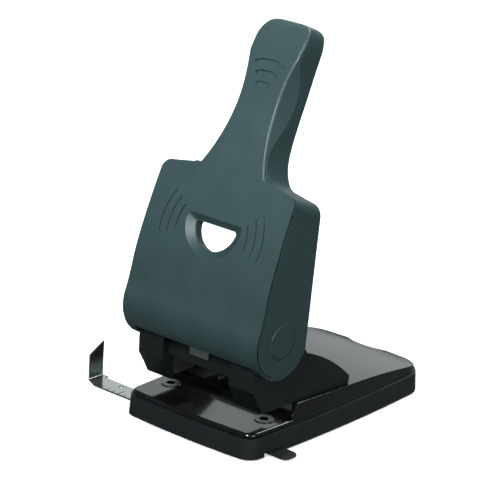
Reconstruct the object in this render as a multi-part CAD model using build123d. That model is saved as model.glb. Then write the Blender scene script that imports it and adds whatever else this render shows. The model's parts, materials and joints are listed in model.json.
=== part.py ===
# Heavy duty two-hole paper punch with one long lever.
# X runs to the right along the paper's edge, Y from the paper side to the rear, Z up.
# It is drawn about the desk point midway between the two punches, and each node is then shifted so that
# the origin is on the desk, in the middle of the whole punch. All sizes are in millimetres.
from build123d import *
import os
from math import asin, cos, degrees, hypot, pi, radians, sin

os.makedirs("parts", exist_ok=True)

# ---------------------------------------------------------------- driving dimensions
# Punching
hole_spacing = 80.0
punch_radius = 3.0
edge_distance = 12.0
punch_rest_height = 8.2
punch_stroke = 10.0
fit_clearance = 0.06
part_gap = 0.3

# Base tub
foot_stand = 0.8
tub_height = 13.6
tub_wall = 2.0
tub_draft = 3.6
tub_floor = 1.8
floor_recess = 2.8
front_overhang = 5.4
front_corner_y = -28.8
front_bow = 2.4
front_corner_radius = 10.5
mid_overhang = 7.4
side_mid_y = 60.0
rear_overhang = 2.6
rear_corner_y = 157.0
rear_bow = 3.0
rear_corner_radius = 22.0
foot_radius = 4.5
foot_rim = 0.8
foot_depth = 1.4
front_foot_y = -22.0
mid_foot_y = 84.0
foot_edge = 14.4
boss_radius = 3.0
boss_edge = 7.3
boss_front_y = 9.0
boss_rear_y = 98.0
tub_screw_radius = 1.5
tub_screw_head_radius = 2.7
tub_screw_head = 1.6

# Pressed base plate
sheet = 1.5
plate_height = 16.8
plate_inset = 1.9
shadow_gap = 0.7
plate_edge_radius = 2.2
dome_front_height = 26.4
dome_mid_height = 24.6
dome_mid_y = 75.0
dome_rear_height = 15.8
step_run = 7.0
step_foot = 3.0
dome_edge_radius = 1.3
dome_draft = 12.0
scoop_half_width = 18.5
scoop_depth = 6.0

# Dies
die_radius = 5.6
die_flange = 0.6
die_depth = 4.6

# Frame legs
frame_sheet = 2.0
leg_outboard = 9.0
leg_width = 21.0
leg_front_y = -23.2
chamfer_top = 43.0
chamfer_knee_y = -17.2
chamfer_knee = 33.4
leg_foot_y = -13.6
leg_clear_height = 27.0
return_depth = 11.0
leg_top = 64.0
cheek_rear_y = 74.5
cheek_rear_top = 29.6
cheek_shoulder_y = 28.7
cheek_shoulder = 57.2
cheek_crown_y = 52.0
cheek_crown = 46.4
ear_radius = 16.0
flange_width = 12.0
flange_front_y = 22.0
flange_rear_y = 72.0
frame_screw_radius = 2.0
frame_screw_head_radius = 4.0
frame_screw_head = 2.2
screw_seat_gap = 0.15
nut_height = 1.6
frame_screw_front_y = 33.0
frame_screw_rear_y = 61.0
bridge_height = 12.0
stop_gap = 0.3
guide_height = 15.0
guide_length = 22.0

# Pivot and drive
pivot_y = -7.0
pivot_height = 75.8
shaft_radius = 4.0
shaft_end_room = 0.6
clip_radius = 7.0
clip_thickness = 0.8
clip_groove = 0.8
washer_radius = 8.0
washer_thickness = 0.6
drive_arm = 11.5
drive_rod_radius = 3.0
head_width = 10.0
head_margin = 2.7
head_neck = 8.2
spring_wire = 0.55
spring_coil_radius = 4.6
spring_turns = 7

# Lever
lever_lean = 22.3
cover_room = 7.5
shoulder_taper = 1.5
disc_radius = 25.2
cover_wall = 2.5
rim_width = 4.2
apron_angle = 57.3
shoulder_height = 88.5
shoulder_rise = 2.6
shoulder_corner = 7.5
neck_start = 92.0
neck_half_width = 19.8
neck_height = 124.0
grip_half_width = 20.3
neck_middle_height = 150.0
grip_crown_drop = 15.5
lever_length = 193.5
grip_corner = 9.0
belly_depth = 29.8
belly_height = 52.0
chest_depth = 29.2
chest_height = 84.0
throat_depth = 27.1
throat_height = 112.0
grip_low_depth = 25.0
grip_low_height = 140.0
belly_low_depth = 27.6
belly_low_height = 20.0
grip_front_depth = 22.8
grip_bend_drop = 17.0
grip_tip_depth = 15.0
grip_back_depth = 2.8
grip_back_height = 100.0
shoulder_back_depth = 1.7
scoop_height = 142.0
scoop_radius = 115.0
scoop_start_depth = 11.5
scoop_slope = 18.5
parting_set = 0.9
parting_width = 1.3
parting_depth = 0.9
scoop_corner_radius = 4.0
scoop_lift = 4.0
tip_slope = 1.1
grip_edge_radius = 2.0

# D-shaped window and grooves in the lever's face
window_height = 51.0
window_radius = 16.4
window_rise = 5.6
window_corner = 2.0
lip_rise = 4.4
lip_depth = 3.6
window_lip = 6.6
lip_floor = 0.6
lip_corner = 3.0
window_back_depth = 20.2
collar_wall = 4.0
face_groove_width = 1.6
face_groove_depth = 0.7
face_groove_radii = (28.7, 35.0, 41.2)
face_groove_low_angles = (-9.5, -11.7, -12.2)
face_groove_high_angles = (25.7, 28.8, 30.7)
grip_groove_width = 2.2
grip_groove_radii = (13.0, 22.0, 32.0)
grip_groove_drops = (42.8, 35.6, 28.2)
grip_groove_half_spans = (5.9, 8.9, 12.0)

# Yoke
yoke_sheet = 2.0
yoke_depth = 22.0
yoke_top = 82.0
yoke_foot = -4.0
yoke_side_return = 12.0
spine_root = 14.0
yoke_window_margin = 8.0
spine_half_width = 10.0
spine_depth = 16.0
spine_start = 95.0
spine_end_drop = 25.5
tongue_half_width = 8.0
tongue_angle = 80.5
tongue_low = 52.4
tongue_root = 59.7
cap_radius = 11.3
cap_thickness = 2.6
grip_screw_low_height = 112.0
grip_screw_high_drop = 17.5
grip_boss_radius = 3.4
grip_screw_radius = 1.4
grip_screw_head_radius = 2.6

# Paper guide
guide_strip_width = 15.0
guide_strip_thickness = 1.2
guide_strip_height = 8.0
guide_strip_y = -18.6
guide_reach = 40.1
guide_right_x = 14.0
guide_stop_depth = 13.0
guide_stop_low = 18.0
guide_stop_high = 25.0
guide_hole_radius = 1.6
guide_hole_inset = 24.5
guide_hole_edge = 4.2
guide_corner_run = 14.0
guide_corner_step = 10.0
guide_corner_cut = 5.0
guide_stop_foot = 6.0
channel_length = 62.0
channel_wall = 1.2
channel_left_x = -40.0
lock_pivot_edge = 24.4
lock_pivot_y = -14.5
lock_reach = 14.2
lock_front_y = -11.2
lock_root_edge = 4.4
lock_hub_run = 6.0
lock_corner_radius = 4.2
lock_width = 13.4
lock_thickness = 1.5
lock_drop = 0.4
lock_hub_radius = 4.6
lock_rivet_radius = 2.0
lock_rivet_head_radius = 3.4
lock_rivet_head = 0.7
lock_notch_front = 4.6
lock_notch_height = 2.6

# Chip drawer
drawer_seam_y = 112.0
seam_gap = 0.5
tray_gap = 0.3
tray_front_y = -8.9
tray_wall = 1.0
tray_height = 7.0
tray_lap = 8.0
drawer_foot_x = 30.0
drawer_foot_y = 138.0
drawer_deck = 1.8
deck_run = 24.0
finger_radius = 11.0
finger_rise = 9.0
finger_inset = 6.0

# ---------------------------------------------------------------- derived values
tub_bottom = foot_stand
rim_top = tub_bottom + tub_height
plate_top = tub_bottom + plate_height
plate_skirt = rim_top + shadow_gap
floor_bottom = tub_bottom + floor_recess
floor_top = floor_bottom + tub_floor
front_y = front_corner_y - front_bow
rear_y = rear_corner_y + rear_bow
dome_front = tub_bottom + dome_front_height
dome_mid = tub_bottom + dome_mid_height
dome_rear = tub_bottom + dome_rear_height
step_rear_y = edge_distance + step_run
pivot_z = tub_bottom + pivot_height
leg_bottom = tub_bottom + leg_clear_height
guide_bottom = leg_bottom + 1.6
guide_top = guide_bottom + guide_height
punch_tip = plate_top + punch_rest_height
swing_half = asin(punch_stroke / (2 * drive_arm))
lever_swing = degrees(2 * swing_half)
rod_y = pivot_y + drive_arm * cos(swing_half)
rod_z = pivot_z + drive_arm * sin(swing_half)
punch_x = hole_spacing / 2
frame_half_width = punch_x + leg_outboard
front_corner_x = frame_half_width + front_overhang
side_mid_x = frame_half_width + mid_overhang
rear_corner_x = frame_half_width + rear_overhang
cover_half_width = frame_half_width + cover_room
shoulder_half_width = cover_half_width - shoulder_taper
boss_x = front_corner_x - boss_edge
foot_x = front_corner_x - foot_edge
tray_half_width = boss_x - boss_radius - tray_gap
guide_left_x = -front_corner_x - guide_reach
guide_hole_x = guide_left_x + guide_hole_inset
lock_pivot_x = front_corner_x - lock_pivot_edge
lock_root_x = front_corner_x - lock_root_edge
lock_tip_x = front_corner_x + lock_reach
grip_height = lever_length - grip_crown_drop
grip_bend_height = lever_length - grip_bend_drop
spine_end = lever_length - spine_end_drop
grip_screw_heights = (grip_screw_low_height, lever_length - grip_screw_high_drop)
tongue_outer_radius = disc_radius - cover_wall - part_gap
middle_x = (guide_left_x + lock_tip_x) / 2
middle_y = (pivot_y - disc_radius + rear_y) / 2
reach = 300.0


def save(shape, name):
    """Write one node to its STEP file, about the middle of the whole punch."""
    shape = Pos(-middle_x, -middle_y, 0) * shape
    shape.label = name
    export_step(shape, "parts/" + name + ".step")


def box(low, high):
    """A box between two corners."""
    size = [high[i] - low[i] for i in range(3)]
    middle = [(high[i] + low[i]) / 2 for i in range(3)]
    return Pos(*middle) * Box(*size)


def rod_x(radius, x_low, x_high, y, z):
    """A cylinder along X."""
    return Pos((x_low + x_high) / 2, y, z) * Rot(0, 90, 0) * Cylinder(radius, x_high - x_low)


def rod_z_axis(radius, x, y, z_low, z_high):
    """A cylinder along Z."""
    return Pos(x, y, (z_low + z_high) / 2) * Cylinder(radius, z_high - z_low)


def side_slab(wire_edges, x_low, x_high):
    """A closed outline of (y, z) edges, made a slab from x_low to x_high."""
    face = Plane.YZ * make_face(wire_edges)
    return Pos(x_low, 0, 0) * extrude(face, amount=x_high - x_low, dir=(1, 0, 0))


def side_polygon(points, x_low, x_high):
    """A straight-sided (y, z) outline, made a slab from x_low to x_high."""
    return side_slab(Polyline(*points, close=True).edges(), x_low, x_high)


def mirror_x(shape):
    return mirror(shape, about=Plane.YZ)


# ---------------------------------------------------------------- base
def base_outline(inset):
    """The bowed plan outline of the base, drawn in by inset."""
    fx, fy = front_corner_x - inset, front_corner_y + inset
    rx, ry = rear_corner_x - inset, rear_corner_y - inset
    sx = side_mid_x - inset
    front = ThreePointArc((-fx, fy), (0, front_y + inset), (fx, fy))
    right = ThreePointArc((fx, fy), (sx, side_mid_y), (rx, ry))
    rear = ThreePointArc((rx, ry), (0, rear_y - inset), (-rx, ry))
    left = ThreePointArc((-rx, ry), (-sx, side_mid_y), (-fx, fy))
    face = make_face([front, right, rear, left])
    corners = face.vertices().sort_by(Axis.Y)
    face = fillet(corners[0:2], front_corner_radius - inset)
    corners = face.vertices().sort_by(Axis.Y)
    return fillet(corners[-2:], rear_corner_radius - inset)


def tub_form():
    """The hollow moulded tub, walls, recessed floor and locating lip, still in one piece."""
    outer = Pos(0, 0, tub_bottom) * extrude(base_outline(0), amount=tub_height, taper=tub_draft)
    above = Pos(0, 0, floor_top) * extrude(base_outline(tub_wall + 1.0), amount=tub_height)
    below = Pos(0, 0, -1) * extrude(base_outline(tub_wall), amount=floor_bottom + 1)
    return outer - above - below


def tub_bosses():
    """Screw towers that carry the base plate."""
    bosses = []
    for x in (-boss_x, boss_x):
        for y in (boss_front_y, boss_rear_y):
            top = plate_top - sheet
            if y > edge_distance:
                top = dome_surface(y + boss_radius) - sheet - screw_seat_gap
            bosses.append(rod_z_axis(boss_radius, x, y, floor_bottom, top))
    return bosses


def dome_surface(y):
    """Height of the plate's top behind the step, up to the dome's middle and beyond it."""
    if y <= dome_mid_y:
        share = (y - step_rear_y) / (dome_mid_y - step_rear_y)
        return dome_front + (dome_mid - dome_front) * share
    share = (y - dome_mid_y) / (rear_y - dome_mid_y)
    return dome_mid + (dome_rear - dome_mid) * share


def base_tub():
    tub = tub_form()
    for boss in tub_bosses():
        tub += boss
    tub -= box((-reach, drawer_seam_y - seam_gap / 2, -reach), (reach, reach, reach))
    for x in (-boss_x, boss_x):
        for y in (boss_front_y, boss_rear_y):
            tub -= rod_z_axis(tub_screw_radius, x, y, -1, floor_top + 5.0)
    # Slot in the left wall for the guide strip, and notch in the right wall for its lock lever.
    strip_low, strip_high = strip_span_z()
    tub -= box((-reach, guide_front_y() - part_gap, strip_low - part_gap),
               (-front_corner_x + 12, guide_rear_y() + part_gap, strip_high + part_gap))
    tub -= box((lock_root_x, lock_front_y - lock_notch_front, -1),
               (reach, lock_front_y + lock_width + part_gap, tub_bottom + lock_notch_height))
    pad_low = tub_bottom + lock_drop + lock_thickness + 0.1
    tub += rod_z_axis(lock_hub_radius, lock_pivot_x, lock_pivot_y, pad_low, floor_bottom + 0.1)
    tub -= rod_z_axis(lock_rivet_radius, lock_pivot_x, lock_pivot_y, -1, floor_top + 1)
    for x in (-foot_x, foot_x):
        for y in (front_foot_y, mid_foot_y):
            tub += rod_z_axis(foot_radius + foot_rim, x, y, tub_bottom + 0.6, floor_bottom + 0.1)
            tub -= rod_z_axis(foot_radius, x, y, -1, foot_depth)
    return tub


def rubber_feet():
    feet = []
    for x in (-foot_x, foot_x):
        for y in (front_foot_y, mid_foot_y):
            feet.append(rod_z_axis(foot_radius, x, y, 0, foot_depth))
    return Compound(feet)


def drawer_feet():
    feet = []
    for x in (-drawer_foot_x, drawer_foot_x):
        feet.append(rod_z_axis(foot_radius, x, drawer_foot_y, 0, foot_depth))
    return Compound(feet)


def chip_drawer():
    """The rear end of the base with the tray that lies under the dies."""
    end = tub_form() & box((-reach, drawer_seam_y + seam_gap / 2, -reach), (reach, reach, reach))
    deck_low = rim_top - drawer_deck
    deck = Pos(0, 0, deck_low) * extrude(base_outline(tub_wall + 0.5), amount=drawer_deck)
    deck &= box((-reach, rear_y - deck_run, -reach), (reach, reach, reach))
    scoop = Pos(0, rear_y - finger_inset, rim_top + finger_rise) * Rot(0, 90, 0)
    scoop *= Cylinder(finger_radius, 2 * scoop_half_width)
    end += deck
    tray_low = floor_top + part_gap
    tray = box((-tray_half_width, tray_front_y, tray_low),
               (tray_half_width, drawer_seam_y + tray_lap, tray_low + tray_height))
    tray -= box((-tray_half_width + tray_wall, tray_front_y + tray_wall, tray_low + tray_wall),
                (tray_half_width - tray_wall, drawer_seam_y + 2 * tray_lap, tray_low + tray_height + 1))
    step = box((-tray_half_width, drawer_seam_y + seam_gap / 2, floor_top - 0.1),
               (tray_half_width, drawer_seam_y + tray_lap, tray_low + tray_wall))
    drawer = end + tray + step
    drawer -= scoop
    # The floor behind the seam carries the tray, so the tray's foot is let into it.
    drawer -= box((-tray_half_width + tray_wall, drawer_seam_y, tray_low + tray_wall),
                  (tray_half_width - tray_wall, drawer_seam_y + 2 * tray_lap, tray_low + tray_height + 1))
    for x in (-drawer_foot_x, drawer_foot_x):
        drawer += rod_z_axis(foot_radius + foot_rim, x, drawer_foot_y, tub_bottom + 0.6, floor_bottom + 0.1)
        drawer -= rod_z_axis(foot_radius, x, drawer_foot_y, -1, foot_depth)
    return drawer


def pan_form(inset, drop):
    """The pressed plate's outer form, drawn in by inset and lowered by drop."""
    base = Pos(0, 0, plate_skirt) * extrude(
        base_outline(plate_inset + inset), amount=dome_front - plate_skirt + 4, taper=dome_draft)
    low = plate_skirt - 1
    stop = edge_distance + inset
    line = [
        Line((-reach, low), (-reach, plate_top - drop)),
        Line((-reach, plate_top - drop), (stop, plate_top - drop)),
        Line((stop, plate_top - drop), (stop, plate_top - drop + step_foot)),
        Line((stop, plate_top - drop + step_foot), (step_rear_y, dome_front - drop)),
        Line((step_rear_y, dome_front - drop), (dome_mid_y, dome_mid - drop)),
        ThreePointArc((dome_mid_y, dome_mid - drop),
                      ((dome_mid_y + rear_y) / 2, (dome_mid + dome_rear) / 2 + 1.4 - drop),
                      (rear_y, dome_rear - drop)),
        Line((rear_y, dome_rear - drop), (reach, dome_rear - drop)),
        Line((reach, dome_rear - drop), (reach, low)),
        Line((reach, low), (-reach, low)),
    ]
    return base & side_slab(line, -reach, reach)


def rim_edges(form, front, rear):
    """The edges round the pressed form's top, from front to rear, without the lines across its step."""
    rim = []
    for edge in form.edges():
        start, middle, end = edge @ 0, edge @ 0.5, edge @ 1
        run = hypot(end.X - start.X, end.Y - start.Y)
        slanted = run > abs(end.Z - start.Z) or edge.length > 2 * step_foot
        across = abs(middle.X) < 1 and edge_distance - 1 < middle.Y < rear_y - rear_corner_radius
        if slanted and not across and middle.Z > plate_skirt + 0.5 and front < middle.Y < rear:
            rim.append(edge)
    return rim


def base_plate():
    outer = pan_form(0, 0)
    outer = fillet(rim_edges(outer, -reach, edge_distance), plate_edge_radius)
    outer = fillet(rim_edges(outer, edge_distance, reach), dome_edge_radius)
    inner = pan_form(sheet, sheet)
    inner += Pos(0, 0, plate_skirt - 3) * extrude(base_outline(plate_inset + sheet), amount=3.2)
    plate = outer - inner
    for x in (-punch_x, punch_x):
        plate -= rod_z_axis(die_radius, x, 0, plate_top - 5, plate_top + 5)
    scoop_y = rear_y - plate_inset + scoop_half_width ** 2 / (2 * scoop_depth) - scoop_depth / 2
    scoop_cut = rod_z_axis(scoop_half_width ** 2 / (2 * scoop_depth) + scoop_depth / 2,
                           0, scoop_y, plate_skirt - 5, dome_front)
    plate -= scoop_cut
    for x in (-frame_screw_x(), frame_screw_x()):
        for y in (frame_screw_front_y, frame_screw_rear_y):
            plate -= rod_z_axis(frame_screw_radius, x, y, plate_skirt, dome_front + 5)
    return plate


def die_bush(x):
    bush = rod_z_axis(die_radius, x, 0, plate_top - die_depth, plate_top)
    bush += rod_z_axis(die_radius + 0.9, x, 0, plate_top, plate_top + die_flange)
    return bush - rod_z_axis(punch_radius + fit_clearance, x, 0, 0, reach)


# ---------------------------------------------------------------- paper guide
def guide_front_y():
    return guide_strip_y - guide_strip_width / 2


def guide_rear_y():
    return guide_strip_y + guide_strip_width / 2


def strip_span_z():
    low = tub_bottom + guide_strip_height
    return low, low + guide_strip_thickness


def paper_guide():
    low, high = strip_span_z()
    strip = box((guide_left_x, guide_front_y(), low), (guide_right_x, guide_rear_y(), high))
    corner_rear = guide_front_y() + guide_corner_cut
    corner = [(guide_left_x - 1, guide_front_y() - 1),
              (guide_left_x + guide_corner_run, guide_front_y() - 1),
              (guide_left_x + guide_corner_step, guide_front_y()), (guide_left_x, corner_rear),
              (guide_left_x - 1, corner_rear)]
    strip -= Pos(0, 0, low - 1) * extrude(make_face(Polyline(*corner, close=True).edges()), amount=4)
    hole_y = guide_rear_y() - guide_hole_edge
    strip -= rod_z_axis(guide_hole_radius, guide_hole_x, hole_y, low - 1, high + 1)
    stop_front = corner_rear
    stop = side_polygon([(stop_front, low), (stop_front + guide_stop_depth, low),
                         (stop_front + guide_stop_depth, low + guide_stop_high),
                         (stop_front, low + guide_stop_low)],
                        guide_left_x, guide_left_x + guide_strip_thickness)
    foot = box((guide_left_x, stop_front, low),
               (guide_left_x + guide_stop_foot, stop_front + guide_stop_depth, high))
    return strip + stop + foot


def guide_channel():
    """Moulded channel on the tub's floor that the strip slides in, open towards the front wall."""
    low, high = strip_span_z()
    right = channel_left_x + channel_length
    rear = guide_rear_y() + part_gap
    base = box((channel_left_x, guide_front_y() + 1, floor_top),
               (right, rear + channel_wall, low - part_gap))
    wall = box((channel_left_x, rear, floor_top),
               (right, rear + channel_wall, high + part_gap + channel_wall))
    lip = box((channel_left_x, rear - guide_strip_width / 2, high + part_gap),
              (right, rear + channel_wall, high + part_gap + channel_wall))
    return base + wall + lip


def guide_lock_lever():
    """Flat lever under the base that clamps the guide strip."""
    low = tub_bottom + lock_drop
    high = low + lock_thickness
    paddle = box((lock_root_x - lock_hub_run, lock_front_y, low),
                 (lock_tip_x, lock_front_y + lock_width, high))
    paddle = fillet(paddle.edges().filter_by(Axis.Z).sort_by(Axis.X)[-2:], lock_corner_radius)
    arm = [(lock_pivot_x + 1, lock_pivot_y - lock_hub_radius + 0.9), (lock_root_x, lock_front_y),
           (lock_root_x, lock_front_y + lock_width),
           (lock_pivot_x - 2, lock_pivot_y + lock_hub_radius - 0.6)]
    lever = Pos(0, 0, low) * extrude(make_face(Polyline(*arm, close=True).edges()), amount=lock_thickness)
    lever += rod_z_axis(lock_hub_radius, lock_pivot_x, lock_pivot_y, low, high)
    front = [(lock_pivot_x, lock_pivot_y - 20), (lock_pivot_x, lock_pivot_y - lock_hub_radius),
             (lock_root_x, lock_front_y), (lock_tip_x + 5, lock_front_y),
             (lock_tip_x + 5, lock_pivot_y - 20)]
    trim = Pos(0, 0, low - 1) * extrude(make_face(Polyline(*front, close=True).edges()), amount=4)
    lever += paddle - trim
    return lever - rod_z_axis(lock_rivet_radius + fit_clearance, lock_pivot_x, lock_pivot_y, 0, 10)


def lock_rivet():
    """Shouldered rivet that the lock lever turns on."""
    head_high = tub_bottom + lock_drop - 0.1
    shank = rod_z_axis(lock_rivet_radius, lock_pivot_x, lock_pivot_y, head_high, floor_top)
    head = rod_z_axis(lock_rivet_head_radius, lock_pivot_x, lock_pivot_y,
                      head_high - lock_rivet_head, head_high)
    top = rod_z_axis(lock_rivet_head_radius, lock_pivot_x, lock_pivot_y,
                     floor_top, floor_top + lock_rivet_head)
    return shank + head + top


def tub_screws():
    screws = []
    for x in (-boss_x, boss_x):
        for y in (boss_front_y, boss_rear_y):
            head = rod_z_axis(tub_screw_head_radius, x, y, floor_bottom - tub_screw_head, floor_bottom)
            screws.append(head + rod_z_axis(tub_screw_radius, x, y, floor_bottom, floor_top + 5.0))
    return Compound(screws)


# ---------------------------------------------------------------- frame
def frame_screw_x():
    return frame_half_width - flange_width / 2 - 1.0


def cheek_outline():
    """Side outline of a frame leg, from its lead-in chamfer to its rear toe."""
    ear_top = (pivot_y, pivot_z + ear_radius)
    ear_front = (pivot_y - ear_radius, pivot_z)
    toe_top = (cheek_rear_y, tub_bottom + cheek_rear_top)
    toe_low = (cheek_rear_y - 0.8, dome_surface(cheek_rear_y - 0.8))
    shoulder = (cheek_shoulder_y, tub_bottom + cheek_shoulder)
    crown = (cheek_crown_y, tub_bottom + cheek_crown)
    seat = (step_rear_y, dome_front)
    foot = (leg_foot_y, leg_bottom)
    knee = (chamfer_knee_y, tub_bottom + chamfer_knee)
    brow = (leg_front_y, tub_bottom + chamfer_top)
    front_top = (leg_front_y, tub_bottom + leg_top)
    return [
        Line(foot, seat), Line(seat, toe_low), Line(toe_low, toe_top),
        ThreePointArc(toe_top, crown, shoulder),
        Line(shoulder, (pivot_y + ear_radius * cos(pi / 4), pivot_z + ear_radius * sin(pi / 4))),
        ThreePointArc((pivot_y + ear_radius * cos(pi / 4), pivot_z + ear_radius * sin(pi / 4)),
                      ear_top, ear_front),
        Line(ear_front, front_top), Line(front_top, brow), Line(brow, knee), Line(knee, foot),
    ]


def drive_slot(x_low, x_high):
    """Curved slot that lets the drive rod swing through a cheek."""
    inner = drive_arm - drive_rod_radius - part_gap
    outer = drive_arm + drive_rod_radius + part_gap
    spread = swing_half + radians(1.5)
    ends = []
    for radius in (inner, outer):
        for angle in (-spread, 0, spread):
            ends.append((pivot_y + radius * cos(angle), pivot_z + radius * sin(angle)))
    edges = [ThreePointArc(ends[0], ends[1], ends[2]), Line(ends[2], ends[5]),
             ThreePointArc(ends[5], ends[4], ends[3]), Line(ends[3], ends[0])]
    slot = side_slab(edges, x_low, x_high)
    for angle in (-spread, spread):
        slot += rod_x(drive_rod_radius + part_gap, x_low, x_high,
                      pivot_y + drive_arm * cos(angle), pivot_z + drive_arm * sin(angle))
    return slot


def frame_right():
    """Right frame leg: cheek, front face with its lead-in, inner return and mounting flange."""
    outer, inner = frame_half_width, frame_half_width - leg_width
    cheek = side_slab(cheek_outline(), outer - frame_sheet, outer)
    front = leg_front_y
    brow, knee = tub_bottom + chamfer_top, tub_bottom + chamfer_knee
    face = side_polygon([(front, tub_bottom + leg_top), (front, brow), (chamfer_knee_y, knee),
                         (leg_foot_y, leg_bottom), (leg_foot_y + frame_sheet, leg_bottom),
                         (chamfer_knee_y + frame_sheet, knee + 0.8),
                         (front + frame_sheet, brow + 0.8),
                         (front + frame_sheet, tub_bottom + leg_top)], inner, outer)
    back = front + return_depth
    flap = side_polygon([(front, tub_bottom + leg_top), (front, brow), (chamfer_knee_y, knee),
                         (leg_foot_y, leg_bottom), (back, leg_bottom),
                         (back, tub_bottom + leg_top)], inner, inner + frame_sheet)
    seat_rear = dome_surface(flange_rear_y)
    seat_front = dome_surface(flange_front_y)
    flange = side_polygon([(flange_front_y, seat_front), (flange_rear_y, seat_rear),
                           (flange_rear_y, seat_rear + frame_sheet),
                           (flange_front_y, seat_front + frame_sheet)], outer - flange_width, outer)
    frame = cheek + face + flap + flange
    frame -= rod_x(shaft_radius, 0, reach, pivot_y, pivot_z)
    frame -= drive_slot(outer - 2 * frame_sheet, outer + 1)
    for y in (frame_screw_front_y, frame_screw_rear_y):
        frame -= rod_z_axis(frame_screw_radius, frame_screw_x(), y, 0, dome_front + 5)
    return frame


def tongue_face_middle():
    """The (y, z) middle of the face at the end of the lever's stop tongue, and its rearward normal."""
    angle = radians(tongue_angle - lever_lean)
    radius = tongue_outer_radius - yoke_sheet / 2
    middle = (pivot_y - radius * cos(angle), pivot_z - radius * sin(angle))
    return middle, (sin(angle), -cos(angle))


def bridge_front_top():
    """The y of the bridge's front face and the z of its top, just clear of the tongue's end."""
    middle, normal = tongue_face_middle()
    return middle[0] + stop_gap * normal[0], middle[1] + stop_gap * normal[1]


def frame_bridge():
    """Cross plate between the legs that the lever's tongue comes to rest against."""
    inner = frame_half_width - leg_width
    front, top = bridge_front_top()
    return box((-inner, front, top - bridge_height), (inner, front + frame_sheet, top))


def frame_screws():
    screws = []
    for x in (-frame_screw_x(), frame_screw_x()):
        for y in (frame_screw_front_y, frame_screw_rear_y):
            seat = dome_surface(y) + frame_sheet + screw_seat_gap
            head = rod_z_axis(frame_screw_head_radius, x, y, seat, seat + frame_screw_head)
            head = fillet(head.edges().sort_by(Axis.Z)[-1], 1.0)
            shank = rod_z_axis(frame_screw_radius, x, y, seat - 6.0, seat)
            nut_low = dome_surface(y) - sheet - screw_seat_gap - nut_height
            nut = extrude(RegularPolygon(frame_screw_head_radius, 6), amount=nut_height)
            screws.append(head + shank + Pos(x, y, nut_low) * nut)
    return Compound(screws)


def punch_guide(side):
    """Die-cast block in a leg that guides the punch close above the paper."""
    outer = frame_half_width - frame_sheet
    inner = frame_half_width - leg_width + frame_sheet
    block = box((inner, -guide_length / 2, guide_bottom), (outer, guide_length / 2, guide_top))
    block = chamfer(block.edges().filter_by(Axis.X).sort_by(Axis.Y)[:2], 3.0)
    block -= rod_z_axis(punch_radius + fit_clearance, punch_x, 0, 0, reach)
    if side < 0:
        block = mirror_x(block)
    return block


# ---------------------------------------------------------------- pivot and punches
def pivot_shaft():
    end = clip_x() + clip_thickness + shaft_end_room
    shaft = rod_x(shaft_radius, -end, end, pivot_y, pivot_z)
    for side in (-1, 1):
        low, high = sorted((side * clip_x(), side * (clip_x() + clip_thickness)))
        ring = rod_x(shaft_radius + 1, low, high, pivot_y, pivot_z)
        ring -= rod_x(shaft_radius - clip_groove, low, high, pivot_y, pivot_z)
        shaft -= ring
    return shaft


def yoke_inner_x():
    return frame_half_width + washer_thickness + 2 * part_gap


def clip_x():
    return yoke_inner_x() + yoke_sheet + part_gap


def shaft_clips():
    clips = []
    for side in (-1, 1):
        low, high = sorted((side * clip_x(), side * (clip_x() + clip_thickness)))
        clip = rod_x(clip_radius, low, high, pivot_y, pivot_z)
        clip -= rod_x(shaft_radius - clip_groove, low, high, pivot_y, pivot_z)
        clip -= box((low - 1, pivot_y - 2.2, pivot_z - 2 * clip_radius), (high + 1, pivot_y + 2.2, pivot_z))
        clips.append(clip)
    return Compound(clips)


def pivot_washers():
    washers = []
    for side in (-1, 1):
        low, high = sorted((side * frame_half_width, side * (frame_half_width + washer_thickness)))
        washer = rod_x(washer_radius, low, high, pivot_y, pivot_z)
        washers.append(washer - rod_x(shaft_radius, low, high, pivot_y, pivot_z))
    return Compound(washers)


def head_low():
    return rod_z - drive_rod_radius - part_gap - head_neck


def punch(side):
    """Ground steel punch with its hollow-cut end and turned neck."""
    x = side * punch_x
    pin = rod_z_axis(punch_radius, x, 0, punch_tip, head_low() + head_neck - 2.0)
    pin = chamfer(pin.edges().sort_by(Axis.Z)[-1], 0.4)
    hollow = rod_x(punch_radius * 1.6, x - 5, x + 5, 0, punch_tip - punch_radius * 1.05)
    return pin - hollow


def punch_head(side):
    """Block on top of a punch, with the slot that the drive rod runs in."""
    x = side * punch_x
    low = head_low()
    high = rod_z + drive_rod_radius + part_gap + head_margin
    front = pivot_y + shaft_radius + part_gap
    travel_low, travel_high = rod_y, pivot_y + drive_arm
    rear = travel_high + drive_rod_radius + part_gap + head_margin
    head = box((x - head_width / 2, front, low), (x + head_width / 2, rear, high))
    slot_radius = drive_rod_radius + part_gap
    head -= box((x - head_width, travel_low, rod_z - slot_radius),
                (x + head_width, travel_high, rod_z + slot_radius))
    for y in (travel_low, travel_high):
        head -= rod_x(slot_radius, x - head_width, x + head_width, y, rod_z)
    return head - rod_z_axis(punch_radius, x, 0, low - 1, low + head_neck - 2.0)


def return_spring(side):
    """Compression spring from the guide block up to the punch head."""
    x = side * punch_x
    low = guide_top + spring_wire
    high = head_low() - spring_wire - 0.1
    pitch = (high - low) / spring_turns
    path = Pos(x, 0, low) * Helix(pitch, high - low, spring_coil_radius)
    start = path @ 0
    section = Plane(origin=start, z_dir=path % 0) * Circle(spring_wire)
    return sweep(section, path=path, is_frenet=True)


# ---------------------------------------------------------------- lever, in its own frame
# The lever is drawn upright: x to the right, y backwards (depth forward is -y), z along the lever
# from the pivot. It is then leaned back about the pivot.
def lean(shape):
    return Pos(0, pivot_y, pivot_z) * Rot(-lever_lean, 0, 0) * shape


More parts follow.
